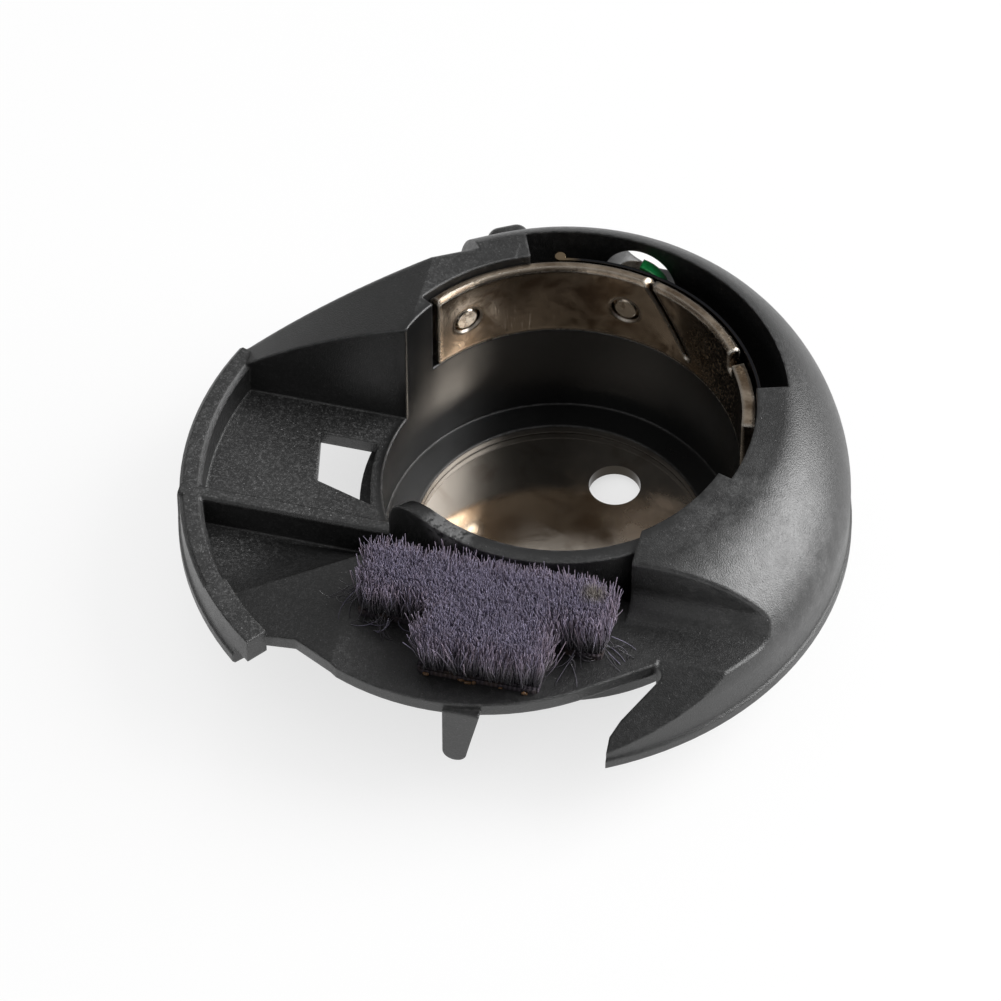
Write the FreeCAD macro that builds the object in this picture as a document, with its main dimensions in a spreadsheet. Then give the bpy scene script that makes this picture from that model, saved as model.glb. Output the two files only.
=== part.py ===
"""Drop-in bobbin box of a sewing machine: a moulded holder with a sprung tension plate.

Millimetres and degrees. The origin is the centre of the bobbin seat, +Z points out of the well,
and +X runs along the rib of the side tray.
"""
import FreeCAD
import Part
import Sketcher
import math
import os
import re

SIZES = {
    # Bobbin well and cup
    "well_radius": 11.15,
    "cup_wall": 0.75,
    "collar_wall": 1.45,
    "collar_drop": 0.5,
    "collar_height": 1.6,
    "base_level": -2.0,
    "lip_thickness": 0.6,
    "lip_width": 1.95,
    # Steel floor plate and the stakes that hold it
    "plate_inset": 0.55,
    "plate_thickness": 0.8,
    "plate_clearance": 0.05,
    "sensor_hole_radius": 1.65,
    "sensor_hole_x": 2.25,
    "sensor_hole_y": 5.4,
    "stake_reach": 0.9,
    "stake_width": 2.4,
    "stake_turn": 30.0,
    # Outer rail that runs in the hook race
    "rail_x": -2.35,
    "rail_y": -2.4,
    "rail_radius": 21.0,
    "rail_bottom": 3.7,
    "rail_height": 1.0,
    "rail_depth": 1.2,
    "rail_chamfer": 0.2,
    # Side tray with rim, rib and square window
    "rim_setback": 0.15,
    "rim_width": 1.45,
    "rim_top": 7.0,
    "rim_start": 160.5,
    "rim_middle": 218.0,
    "rim_end": 240.0,
    "tray_floor": 4.7,
    "tray_thickness": 1.0,
    "rib_inset": 3.35,
    "rib_width": 1.05,
    "window_reach": 4.55,
    "window_back": 0.7,
    "window_length": 3.95,
    "window_side_lean": 0.8,
    "window_front_lean": 1.15,
    # Sloped wing behind the tray
    "wing_y": 3.1,
    "wing_inset": 2.0,
    "wing_tip": 0.63,
    "wing_start_drop": 0.1,
    "wing_turn": 29.0,
    "wing_reach": 0.6,
    "wing_shoulder": 0.55,
    "wing_crown": 38.0,
    "wing_draft": 1.4,
    "wing_round": 0.7,
    "edge_round": 0.25,
    # Crest that goes round the back and widens to the crescent shoulder
    "crown_level": 13.0,
    "crown_drop": 1.15,
    "crown_drop_start": 46.0,
    "crown_margin": 2.65,
    "crown_pull": 0.3,
    "crest_start": 126.0,
    "crest_end": -76.0,
    "crest_depth": 6.0,
    "crest_widen_start": 115.0,
    "crest_widen_end": 30.0,
    "crest_foot": 6.8,
    "crest_side_pull": 0.62,
    # Scoop and hook finger
    "scoop_x": 7.1,
    "scoop_gap": 0.05,
    "scoop_round": 1.6,
    "finger_step": 3.8,
    "finger_tip_inset": 2.8,
    "finger_tip_level": 5.1,
    "finger_inner_side": 1.45,
    "finger_inner_inset": 4.7,
    "finger_point_side": 1.9,
    "finger_point_inset": 3.7,
    # Front wall of the well
    "front_wall": 1.0,
    "front_wall_top": 11.4,
    "front_wall_start": -137.0,
    "front_wall_sweep": 95.0,
    "front_wall_round": 3.4,
    # Front shelf
    "shelf_level": 8.0,
    "shelf_thickness": 0.9,
    "shelf_edge_x": -3.3,
    "shelf_edge_y": -6.4,
    "shelf_edge_radius": 15.1,
    "shelf_edge_start": 247.5,
    "shelf_edge_end": 309.0,
    "shelf_left_inset": 1.65,
    "shelf_back_inset": 0.15,
    "tray_end_level": 3.2,
    "tray_end_inset": 5.9,
    "notch_x": 9.7,
    "notch_inset": 7.5,
    "notch_width": 0.8,
    "notch_lean": -35.0,
    "notch_room": 2.8,
    "tip_turn": 232.5,
    "tip_step": 1.6,
    "tip_bend": 5.4,
    "tip_bend_step": 2.45,
    "tip_foot_turn": 228.5,
    "tip_foot_level": 5.2,
    # Guide peg under the shelf and knob on the back
    "peg_left": -2.1,
    "peg_width": 2.3,
    "peg_taper": 0.8,
    "peg_setback": 1.7,
    "peg_depth": 2.2,
    "peg_bottom": 3.1,
    "knob_run": 18.05,
    "knob_out": 2.55,
    "knob_width": 2.7,
    "knob_reach": 1.7,
    "knob_top": 10.2,
    "knob_round": 0.8,
    # Tension plate, its recess and the spring channel
    "band_thickness": 0.8,
    "band_clearance": 0.1,
    "band_bottom": 7.0,
    "band_top": 12.6,
    "band_start": 7.0,
    "band_end": 147.0,
    "band_ease": 0.2,
    "band_step": 0.7,
    "band_step_end": 34.0,
    "recess_start": -17.0,
    "recess_end": 150.0,
    "channel_depth": 2.9,
    "channel_start": 18.0,
    "channel_end": 113.0,
    "slit_width": 0.45,
    "slit_top_turn": 75.0,
    "slit_bottom_turn": 58.5,
    "slit_bottom": 8.0,
    "notch_turn": 35.5,
    "notch_sweep": 3.0,
    "notch_depth": 1.6,
    # Leaf spring
    "leaf_gap": 0.25,
    "leaf_thickness": 0.2,
    "leaf_bottom": 8.4,
    "leaf_top": 12.3,
    "leaf_start": 20.0,
    "leaf_end": 104.0,
    "leaf_roll": 0.35,
    "leaf_hole_radius": 1.3,
    # Screws
    "screw_level": 9.65,
    "screw_radius": 0.9,
    "screw_fit": 0.05,
    "screw_recess": 0.05,
    "screw_ease": 0.2,
    "head_radius": 1.6,
    "head_height": 1.0,
    "slot_width": 0.4,
    "slot_depth": 0.5,
    "plate_screw_turn": 135.5,
    "plate_screw_depth": 2.05,
    "tension_screw_turn": 82.6,
    "tension_screw_depth": 1.85,
    "head_room": 0.8,
    "paint_thickness": 0.3,
    "paint_start": 268.0,
    "paint_sweep": 68.0,
    # Pile pad
    "pad_side": 0.1,
    "pad_gap": 0.7,
    "pad_wall_gap": 0.35,
    "pad_bar": 3.5,
    "pad_front_gap": 1.5,
    "pad_block_left": -4.3,
    "pad_block_right": 3.3,
    "pad_backing": 0.35,
    "pad_top": 11.4,
}

# Sizes that follow from others: what lines up with the well, the rail or a neighbour
LINKED = {
    "lip_radius": "well_radius - lip_width",
    "plate_radius": "well_radius - plate_inset",
    "rib_y": "rib_inset - well_radius",
    "window_left": "-well_radius - window_reach",
    "window_front": "window_back - window_length",
    "rail_front": "rail_y - rail_radius",
    "wing_corner_x": "rail_x - rail_radius + wing_inset",
    "wing_corner_y": "wing_y + wing_tip",
    "wing_run": "(-wing_reach * well_radius - wing_corner_x) / cos(wing_turn * 1 deg)",
    "wing_rise_end": "wing_shoulder - well_radius",
    "crown_radius": "well_radius + crown_margin",
    "crest_back_radius": "well_radius + crest_depth",
    "scoop_y": "-well_radius - scoop_gap",
    "finger_knee_y": "scoop_y - finger_step",
    "finger_tip_y": "rail_front + finger_tip_inset",
    "finger_inner_x": "notch_x - finger_inner_side",
    "finger_inner_y": "rail_front + finger_inner_inset",
    "finger_point_x": "notch_x - finger_point_side",
    "finger_point_y": "rail_front + finger_point_inset",
    "shelf_front": "shelf_edge_y - shelf_edge_radius",
    "shelf_left_x": "shelf_left_inset - well_radius",
    "shelf_back_y": "shelf_back_inset - well_radius",
    "tray_end_y": "rail_front + tray_end_inset",
    "notch_y": "rail_front + notch_inset",
    "peg_reach": "rail_radius - peg_setback",
    "channel_radius": "well_radius + channel_depth",
    "screw_end": "well_radius + screw_recess",
    "plate_screw_seat": "well_radius + plate_screw_depth",
    "tension_screw_seat": "well_radius + tension_screw_depth",
    "pad_left": "shelf_left_x + pad_side",
    "pad_right": "scoop_x - pad_gap",
    "pad_back": "-well_radius - front_wall - pad_wall_gap",
    "pad_waist": "pad_back - pad_bar",
    "pad_front": "shelf_front + pad_front_gap",
}

FAR = 40.0
UP = FreeCAD.Vector(0, 0, 1)
CELLS = {**SIZES, **LINKED}
NODES = []

doc = FreeCAD.newDocument("bobbin_box")
sheet = doc.addObject("Spreadsheet::Sheet", "Sizes")
rows = [(name, str(value)) for name, value in SIZES.items()] + [(name, f"={text}") for name, text in LINKED.items()]
for row, (name, text) in enumerate(rows, start=1):
    sheet.set(f"A{row}", name)
    sheet.setAlias(f"B{row}", name)
    sheet.set(f"B{row}", text)
doc.recompute()


def size(name):
    """Value of one driving dimension."""
    return float(sheet.get(name))


def formula(text):
    """A formula in sheet names, with the sheet named before each of them."""
    return re.sub(r"[a-z]\w*", lambda word: f"Sizes.{word[0]}" if word[0] in CELLS else word[0], str(text))


def bind(item, prop, text):
    item.setExpression(prop, formula(text))


def polar(radius, turn, level=0.0, center=(0.0, 0.0)):
    """Point at a radius and turn about a vertical axis."""
    angle = math.radians(turn)
    return FreeCAD.Vector(center[0] + radius * math.cos(angle), center[1] + radius * math.sin(angle), level)


def rail_center():
    return size("rail_x"), size("rail_y")


# Building blocks

def cylinder(name, radius, bottom, top, x=0, y=0, start=0, sweep=360):
    item = doc.addObject("Part::Cylinder", name)
    item.Placement = FreeCAD.Placement(FreeCAD.Vector(), FreeCAD.Rotation(UP, 1))
    bind(item, "Radius", radius)
    bind(item, "Height", f"({top}) - ({bottom})")
    bind(item, "Angle", sweep)
    bind(item, "Placement.Base.x", x)
    bind(item, "Placement.Base.y", y)
    bind(item, "Placement.Base.z", bottom)
    bind(item, "Placement.Rotation.Angle", start)
    return item


def box(name, low, high):
    item = doc.addObject("Part::Box", name)
    for prop, axis, bottom, top in zip(("Length", "Width", "Height"), "xyz", low, high):
        bind(item, prop, f"({top}) - ({bottom})")
        bind(item, f"Placement.Base.{axis}", bottom)
    return item


def shaft(name, radius, turn, begin, end, level):
    """Cylinder along a radius of the well, from one distance to another."""
    item = doc.addObject("Part::Cylinder", name)
    outward = FreeCAD.Rotation(UP, polar(1, size(turn)))
    item.Placement = FreeCAD.Placement(FreeCAD.Vector(), outward)
    bind(item, "Radius", radius)
    bind(item, "Height", f"({end}) - ({begin})")
    bind(item, "Placement.Base.x", f"({begin}) * cos({turn} * 1 deg)")
    bind(item, "Placement.Base.y", f"({begin}) * sin({turn} * 1 deg)")
    bind(item, "Placement.Base.z", level)
    return item


def fuse(name, *items):
    item = doc.addObject("Part::MultiFuse", name)
    item.Shapes = list(items)
    item.Refine = True
    return item


def cut(name, base, *tools):
    """Take each tool away from the base in turn."""
    item = base
    for step, tool in enumerate(tools, start=1):
        whole = item
        item = doc.addObject("Part::Cut", name if step == len(tools) else f"{name}_{step}")
        item.Base = whole
        item.Tool = tool
    return item


def common(name, base, tool):
    item = doc.addObject("Part::MultiCommon", name)
    item.Shapes = [base, tool]
    item.Refine = True
    return item


def ring(name, inner, outer, bottom, top, x=0, y=0, start=0, sweep=360):
    whole = cylinder(f"{name}_outer", outer, bottom, top, x, y, start, sweep)
    bore = cylinder(f"{name}_bore", inner, f"({bottom}) - 1", f"({top}) + 1", x, y)
    return cut(name, whole, bore)


def shaped(name, shape):
    """A form that no primitive gives, made with Part's own functions from the sheet's sizes."""
    item = doc.addObject("Part::Feature", name)
    item.Shape = shape
    return item


def at_level(edge, level):
    return abs(edge.BoundBox.ZMin - level) + abs(edge.BoundBox.ZMax - level) < 0.01


def eased(kind, name, base, amount, chosen):
    """Fillet or chamfer the edges of an item that a test picks out."""
    doc.recompute()
    item = doc.addObject(f"Part::{kind}", name)
    item.Base = base
    item.Edges = [(index, amount, amount) for index, edge in enumerate(base.Shape.Edges, start=1) if chosen(edge)]
    return item


def rounded(name, base, radius, chosen):
    return eased("Fillet", name, base, radius, chosen)


def chamfered(name, base, width, chosen):
    return eased("Chamfer", name, base, width, chosen)


def prism(name, edges, along):
    """Solid swept from a closed flat outline."""
    return shaped(name, Part.Face(Part.Wire(edges)).extrude(along))


def lines(points):
    closed = list(points) + [points[0]]
    return [Part.LineSegment(a, b).toShape() for a, b in zip(closed, closed[1:])]


def arc(first, middle, last):
    return Part.Arc(first, middle, last).toShape()


def line(first, last):
    return Part.LineSegment(first, last).toShape()


def node(item, label):
    item.Label = label
    NODES.append(item)
    return item


# Sketched bodies

def body_sketch(body, name, role):
    plane = next(item for item in body.Origin.OriginFeatures if item.Role == role)
    sketch = body.newObject("Sketcher::SketchObject", name)
    sketch.AttachmentSupport = [(plane, "")]
    sketch.MapMode = "FlatFace"
    return sketch


def draw_polygon(sketch, corners):
    """Closed outline whose corners are bound to pairs of formulas."""
    count = len(corners)
    start = [polar(10, 360 * index / count) for index in range(count)]
    for index in range(count):
        sketch.addGeometry(Part.LineSegment(start[index], start[(index + 1) % count]), False)
    for index, (x, y) in enumerate(corners):
        sketch.addConstraint(Sketcher.Constraint("Coincident", index, 2, (index + 1) % count, 1))
        across = sketch.addConstraint(Sketcher.Constraint("DistanceX", -1, 1, index, 1, start[index].x))
        bind(sketch, f"Constraints[{across}]", x)
        along = sketch.addConstraint(Sketcher.Constraint("DistanceY", -1, 1, index, 1, start[index].y))
        bind(sketch, f"Constraints[{along}]", y)


def draw_circle(sketch, radius, x=0, y=0):
    index = sketch.addGeometry(Part.Circle(FreeCAD.Vector(1, 1, 0), UP, 2), False)
    for kind, text, seed in (("DistanceX", x, 1), ("DistanceY", y, 1)):
        place = sketch.addConstraint(Sketcher.Constraint(kind, -1, 1, index, 3, seed))
        bind(sketch, f"Constraints[{place}]", text)
    round_size = sketch.addConstraint(Sketcher.Constraint("Radius", index, 2))
    bind(sketch, f"Constraints[{round_size}]", radius)


def pad(body, name, sketch, length):
    item = body.newObject("PartDesign::Pad", name)
    item.Profile = sketch
    bind(item, "Length", length)
    return item


# Case body

def ease(turn, start, end):
    """Smooth change from 0 at the start turn to 1 at the end turn."""
    gone = (size(start) - turn) / (size(start) - size(end))
    held = min(max(gone, 0), 1)
    return held * held * (3 - 2 * held)


def crest_section(turn):
    """Outline of the crest at one turn about the well: flat crown, broad slope, upright foot."""
    crown = size("crown_level") - size("crown_drop") * ease(turn, "crown_drop_start", "crest_end")
    foot = size("crest_foot")
    rim = size("rail_radius") - size("rim_setback")
    toward = polar(1, turn)
    center = FreeCAD.Vector(*rail_center(), 0)
    reach = toward.dot(center)
    to_rim = reach + math.sqrt(reach ** 2 + rim ** 2 - center.dot(center))
    widened = ease(turn, "crest_widen_start", "crest_widen_end")
    edge = size("crest_back_radius") * (1 - widened) + to_rim * widened
    inside = size("well_radius") - 1
    under = size("tray_floor") - size("tray_thickness")
    crown_radius = size("crown_radius")
    heart = toward * crown_radius + UP * foot
    top = toward * crown_radius + UP * crown
    side = toward * edge + UP * foot
    curve = Part.BezierCurve()
    curve.setPoles([top, top + (side - heart) * size("crown_pull"), side + (top - heart) * size("crest_side_pull"), side])
    inner_low = toward * inside + UP * under
    inner_top = toward * inside + UP * crown
    edge_low = toward * edge + UP * under
    edges = [line(inner_low, inner_top), line(inner_top, top), curve.toShape(), line(side, edge_low),
             line(edge_low, inner_low)]
    return Part.Wire(edges)


def make_crest():
    steps = 10
    start = size("crest_start")
    pitch = (size("crest_end") - start) / steps
    sections = [crest_section(start + pitch * index) for index in range(steps + 1)]
    crest = shaped("Crest", Part.makeLoft(sections, True, False))
    shelf_room = box("CrestShelfRoom", (-FAR, -FAR, -FAR), ("scoop_x", "-well_radius / 2", FAR))
    level = size("shelf_level")
    knee = size("finger_knee_y")
    tip = size("finger_tip_y")
    slope = (size("finger_tip_level") - level) / (tip - knee)
    wall = size("scoop_y")
    hollow = size("scoop_round")
    wall_top = FreeCAD.Vector(-FAR, wall, FAR)
    wall_foot = FreeCAD.Vector(-FAR, wall, level + hollow)
    bend = wall_foot + FreeCAD.Vector(0, math.sqrt(0.5) - 1, -math.sqrt(0.5)) * hollow
    floor_start = FreeCAD.Vector(-FAR, wall - hollow, level)
    floor_end = FreeCAD.Vector(-FAR, -FAR, level)
    far_top = FreeCAD.Vector(-FAR, -FAR, FAR)
    edges = [line(wall_top, wall_foot), arc(wall_foot, bend, floor_start), line(floor_start, floor_end),
             line(floor_end, far_top), line(far_top, wall_top)]
    scoop = prism("Scoop", edges, FreeCAD.Vector(2 * FAR, 0, 0))
    over_finger = [(knee, level), (-FAR, level + slope * (-FAR - knee)), (-FAR, level + 1), (knee, level + 1)]
    above = prism("AboveFinger", lines([FreeCAD.Vector(-FAR, y, z) for y, z in over_finger]), FreeCAD.Vector(2 * FAR, 0, 0))
    root = size("notch_x")
    split = size("finger_point_x") - 1
    plan = [(root, knee), (root, size("notch_y")), (split, size("finger_point_y")), (split, -FAR), (FAR, -FAR), (FAR, knee)]
    finger = prism("FingerPlan", lines([FreeCAD.Vector(x, y, 0) for x, y in plan]), UP * FAR)
    finger_slope = common("FingerSlope", above, finger)
    return cut("CrestTrimmed", crest, shelf_room, scoop, finger_slope)


def make_wing():
    """Wedge behind the tray: its top climbs in a shallow arc from the rim to the crown."""
    corner = FreeCAD.Vector(size("wing_corner_x"), size("wing_corner_y"), 0)
    far_end = corner + polar(size("wing_run"), size("wing_turn"))
    wall = size("wing_y")
    inner = -size("well_radius") / 2
    under = size("tray_floor") - size("tray_thickness")
    top = size("crown_level") + 1
    lean = size("wing_draft") / (size("crown_level") - under)
    outward = polar(1, size("wing_turn") + 90)
    spread = outward * lean * (top - under)

    def outline(level, shift):
        start = corner + shift
        end = far_end + shift
        corners = [start, end, FreeCAD.Vector(inner, end.y, 0), FreeCAD.Vector(inner, wall, 0),
                   FreeCAD.Vector(corner.x, wall, 0)]
        return Part.Wire(lines([point + UP * level for point in corners]))

    block = shaped("WingBlock", Part.makeLoft([outline(under, spread), outline(top, FreeCAD.Vector())], True, True))
    low = FreeCAD.Vector(corner.x, -FAR, size("rim_top") - size("wing_start_drop"))
    high = FreeCAD.Vector(size("wing_rise_end"), -FAR, size("crown_level"))
    middle = (low + high) * 0.5
    chord = high - low
    rise = chord.Length ** 2 / (8 * size("wing_crown"))
    crown = middle + FreeCAD.Vector(-chord.z, 0, chord.x).normalize() * rise
    left = FreeCAD.Vector(-FAR, -FAR, low.z - (low.x + FAR) * chord.z / chord.x)
    right = FreeCAD.Vector(FAR, -FAR, high.z)
    ceiling = [line(left, low), arc(low, crown, high), line(high, right),
               line(right, right + UP * FAR), line(right + UP * FAR, left + UP * FAR), line(left + UP * FAR, left)]
    over = prism("WingOver", ceiling, FreeCAD.Vector(0, 2 * FAR, 0))
    reach = cylinder("WingReach", "rail_radius - rim_setback", -FAR, FAR, "rail_x", "rail_y")
    wedge = common("WingWedge", cut("WingSloped", block, over), reach)

    def outer_top(edge):
        ends = [vertex.Point for vertex in edge.Vertexes]
        offsets = [(point - corner).dot(outward) - lean * (top - point.z) for point in ends]
        return max(map(abs, offsets)) < 0.05 and min(point.z for point in ends) > size("rim_top") - 1

    def wall_top(edge):
        ends = [vertex.Point for vertex in edge.Vertexes]
        on_wall = max(abs(point.y - wall) for point in ends) < 0.01
        return on_wall and min(point.z for point in ends) > size("rim_top") - 0.01

    eased_wedge = rounded("WingEased", wedge, size("wing_round"), outer_top)
    return rounded("Wing", eased_wedge, size("edge_round"), wall_top)


def make_shelf():
    """Tray floor in front of the rib, warped up to the level shelf that carries the pad."""
    thickness = size("shelf_thickness")
    low = size("tray_floor")
    back = size("rib_y") + size("rib_width") / 2
    trough = size("rib_y") - size("rib_width") / 2
    level = size("shelf_level")
    left_x = -FAR / 1.6
    right_x = size("shelf_left_x")
    tray = [(back, low), (trough - 1, low), (size("tray_end_y"), size("tray_end_level")), (-FAR, size("tray_end_level"))]
    shelf = [(back, low), (trough, low), (size("shelf_back_y"), level), (-FAR, level)]

    def section(x, profile):
        upper = [FreeCAD.Vector(x, y, z) for y, z in profile]
        lower = [point - UP * thickness for point in reversed(upper)]
        return Part.Wire(lines(upper + lower))

    warped = shaped("ShelfWarp", Part.makeLoft([section(left_x, tray), section(right_x, shelf)], True, True))
    flat_edges = section(right_x, shelf).Edges
    flat = prism("ShelfFlat", flat_edges, FreeCAD.Vector(size("scoop_x") + 0.1 - right_x, 0, 0))
    inside = cylinder("ShelfReach", "rail_radius - rim_setback", -FAR, FAR, "rail_x", "rail_y")
    return common("Shelf", fuse("ShelfWhole", warped, flat), inside)


def make_front_gap():
    """Space in front of the shelf, from the tray's tip to the hook finger with its narrow notch."""
    center = rail_center()
    edge_center = (size("shelf_edge_x"), size("shelf_edge_y"))
    reach = size("shelf_edge_radius")
    rim = size("rail_radius")
    tip_turn = size("tip_turn")
    start_turn = size("shelf_edge_start")
    end_turn = size("shelf_edge_end")
    level = -FAR
    outer_left = polar(rim + 5, tip_turn, level, center)
    tip = polar(rim - size("tip_step"), tip_turn, level, center)
    bend = polar(rim - size("tip_bend_step"), tip_turn + size("tip_bend"), level, center)
    edge_start = polar(reach, start_turn, level, edge_center)
    edge_mid = polar(reach, (start_turn + end_turn) / 2, level, edge_center)
    edge_end = polar(reach, end_turn, level, edge_center)
    notch = FreeCAD.Vector(size("notch_x"), size("notch_y"), level)
    half = size("notch_width") / 2
    across = polar(1, size("notch_lean"))
    inward = FreeCAD.Vector(-across.y, across.x, 0)
    notch_left = notch - across * half
    notch_right = notch + across * half
    notch_end = notch + inward * half
    knuckle = FreeCAD.Vector(size("finger_inner_x"), size("finger_inner_y"), level)
    finger_tip = FreeCAD.Vector(size("finger_point_x"), size("finger_point_y"), level)
    outer_right = FreeCAD.Vector(size("finger_inner_x"), -FAR, level)
    edges = [line(outer_left, tip), line(tip, bend), line(bend, edge_start),
             arc(edge_start, edge_mid, edge_end),
             line(edge_end, notch_left), arc(notch_left, notch_end, notch_right), line(notch_right, knuckle),
             line(knuckle, finger_tip), line(finger_tip, outer_right), line(outer_right, outer_left)]
    return prism("FrontGap", edges, UP * 2 * FAR)


def make_rail():
    whole = ring("RailRing", "rail_radius - rail_depth", "rail_radius", "rail_bottom",
                 "rail_bottom + rail_height", "rail_x", "rail_y")
    round_length = 2 * math.pi * size("rail_radius")
    return chamfered("Rail", whole, size("rail_chamfer"), lambda edge: abs(edge.Length - round_length) < 0.01)


def make_peg():
    """Guide peg under the front edge of the shelf, drawn in towards its round foot."""
    left = size("peg_left")
    right = left + size("peg_width")
    top = size("shelf_level") - size("shelf_thickness") / 2
    taper = size("peg_taper")
    foot_radius = (size("peg_width") - taper) / 2
    foot = size("peg_bottom") + foot_radius
    back = size("rail_y") - size("peg_reach") + size("peg_depth")
    upper_left = FreeCAD.Vector(left, back, top)
    lower_left = FreeCAD.Vector(left, back, foot)
    lowest = FreeCAD.Vector(left + foot_radius, back, size("peg_bottom"))
    lower_right = FreeCAD.Vector(right - taper, back, foot)
    upper_right = FreeCAD.Vector(right, back, top)
    edges = [line(upper_left, lower_left), arc(lower_left, lowest, lower_right), line(lower_right, upper_right),
             line(upper_right, upper_left)]
    return prism("Peg", edges, FreeCAD.Vector(0, -size("peg_depth"), 0))


def scoop_edge(edge):
    """Upper edge of the scoop's wall, which the moulding rounds off."""
    points = [vertex.Point for vertex in edge.Vertexes]
    on_wall = all(abs(point.y - size("scoop_y")) < 0.02 for point in points)
    return on_wall and edge.BoundBox.ZMax > size("front_wall_top") and edge.CenterOfMass.x > size("scoop_x") + 0.2


def make_case_body():
    center = ("rail_x", "rail_y")
    rim = "rail_radius - rim_setback"
    under = "tray_floor - tray_thickness"
    cup = cylinder("Cup", "well_radius + cup_wall", "base_level", "tray_floor")
    collar = cylinder("CupCollar", "well_radius + collar_wall", f"{under} - collar_drop - collar_height",
                      f"{under} - collar_drop")
    flange = cylinder("Flange", "rail_radius - rail_depth / 2", under, "tray_floor", *center)
    front_left = [(-FAR, size("rib_y")), (size("scoop_x"), size("rib_y")), (size("scoop_x"), -FAR), (-FAR, -FAR)]
    front_floor = prism("FrontFloor", lines([FreeCAD.Vector(x, y, -FAR) for x, y in front_left]), UP * 2 * FAR)
    floor = cut("Floor", flange, front_floor)
    edge_round = size("edge_round")

    def rim_edge(edge):
        return at_level(edge, size("rim_top")) and edge.Length > 2 * size("rim_width")

    rim_rings = [ring(name, f"{rim} - rim_width", rim, under, "rim_top", *center, start, f"{end} - {start}")
                 for name, start, end in (("RimRing", "rim_start", "rim_middle"), ("TipRim", "rim_middle", "rim_end"))]
    side_rim = chamfered("SideRim", rim_rings[0], edge_round, rim_edge)
    rib = box("RibBlock", ("rail_x - rail_radius + rim_setback + rim_width / 2", "rib_y - rib_width / 2", under),
              ("-well_radius * 0.75", "rib_y + rib_width / 2", "rim_top"))
    rib = rounded("Rib", rib, edge_round, rim_edge)
    wall_ring = ring("WallRing", "well_radius - 0.5", "well_radius + front_wall", "tray_floor", "front_wall_top",
                     0, 0, "front_wall_start", "front_wall_sweep")

    def wall_end(edge):
        turned = math.degrees(math.atan2(edge.CenterOfMass.y, edge.CenterOfMass.x))
        return at_level(edge, size("front_wall_top")) and abs(turned - size("front_wall_start")) < 0.5

    front_wall = rounded("FrontWall", wall_ring, size("front_wall_round"), wall_end)
    notch_back = size("notch_y") + size("notch_room")
    notch_left = size("scoop_x") - 1
    notch_corners = [(notch_left, notch_back), (size("notch_x"), notch_back), (size("notch_x"), size("notch_y")),
                     (size("finger_inner_x"), size("finger_inner_y") + size("notch_width")),
                     (notch_left, size("finger_inner_y"))]
    shelf_under = size("shelf_level") - size("shelf_thickness")
    notch_room = prism("NotchRoom", lines([FreeCAD.Vector(x, y, shelf_under) for x, y in notch_corners]), UP * -FAR)
    base = fuse("Base", cup, collar, floor, make_rail())
    back = fuse("Back", base, make_crest(), make_wing())
    shell = fuse("Shell", back, side_rim, rim_rings[1], rib, make_shelf(), front_wall)

    well = cylinder("Well", "well_radius", 0, FAR)
    eye = cylinder("Eye", "lip_radius", "base_level", "well_radius")
    seat = cylinder("Seat", "plate_radius + plate_clearance", "base_level - 1", "-lip_thickness")
    tray_under = size("tray_floor") - size("tray_thickness")
    left = size("window_left")
    back = size("window_back")
    front = size("window_front")
    cup_side = -size("well_radius")
    corners = [(left, back), (left + size("window_side_lean"), front), (cup_side, front - size("window_front_lean")),
               (cup_side, back)]
    opening = prism("WindowOpening", lines([FreeCAD.Vector(x, y, tray_under - size("collar_drop") / 2) for x, y in corners]), UP * size("tray_floor"))
    window = cut("SideWindow", opening, cylinder("WindowKeep", "well_radius + cup_wall", -FAR, FAR))
    tip_room = ring("TipFootRoom", "rail_radius - 4", "rail_radius + 1", -FAR, "tip_foot_level", *center, "tip_foot_turn",
                    "tip_turn - tip_foot_turn + 12")
    band_outer = "well_radius + band_thickness + band_clearance"
    recess = cylinder("BandRecess", band_outer, "band_bottom", FAR, 0, 0, "recess_start", "recess_end - recess_start")
    channel = cylinder("SpringChannel", "channel_radius", "band_bottom", FAR, 0, 0, "channel_start",
                       "channel_end - channel_start")
    port = shaft("DriverPort", "head_radius + head_room", "tension_screw_turn", "well_radius", FAR, "screw_level")
    bore = shaft("PlateScrewBore", "screw_radius + screw_fit", "plate_screw_turn", "well_radius", FAR, "screw_level")
    head_bore = shaft("PlateScrewHeadBore", "head_radius + screw_fit", "plate_screw_turn", "plate_screw_seat", FAR,
                      "screw_level")
    hollow = cut("Hollow", shell, well, eye, seat, window, recess, channel, port, bore, head_bore, make_front_gap(),
                 notch_room, tip_room)

    stakes = []
    for index in range(3):
        stake = box(f"Stake{index}", ("plate_radius - stake_reach", "-stake_width / 2", "base_level"),
                    ("plate_radius + plate_clearance + cup_wall / 2", "stake_width / 2", "-lip_thickness - plate_thickness"))
        turned = doc.addObject("Part::Compound", f"StakeTurned{index}")
        turned.Links = [stake]
        turned.Placement = FreeCAD.Placement(FreeCAD.Vector(), FreeCAD.Rotation(UP, size("stake_turn") + 120 * index))
        stakes.append(turned)
    knob = box("KnobBlock", ("-knob_width / 2", "-knob_reach", under), ("knob_width / 2", "knob_reach", "knob_top"))
    knob_level = size("tray_floor")
    knob_round = rounded("KnobRound", knob, size("knob_round"),
                         lambda edge: edge.CenterOfMass.z > knob_level and edge.CenterOfMass.y > 0.1 - size("knob_reach"))
    knob_turned = doc.addObject("Part::Compound", "Knob")
    knob_turned.Links = [knob_round]
    wing_corner = FreeCAD.Vector(size("wing_corner_x"), size("wing_corner_y"), 0)
    turn = size("wing_turn")
    knob_spot = wing_corner + polar(size("knob_run"), turn) + polar(size("knob_out"), turn + 90)
    knob_turned.Placement = FreeCAD.Placement(knob_spot, FreeCAD.Rotation(UP, turn))
    whole = fuse("CaseWhole", hollow, make_peg(), knob_turned, *stakes)
    return node(rounded("CaseBody", whole, edge_round, scoop_edge), "case_body")


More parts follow.
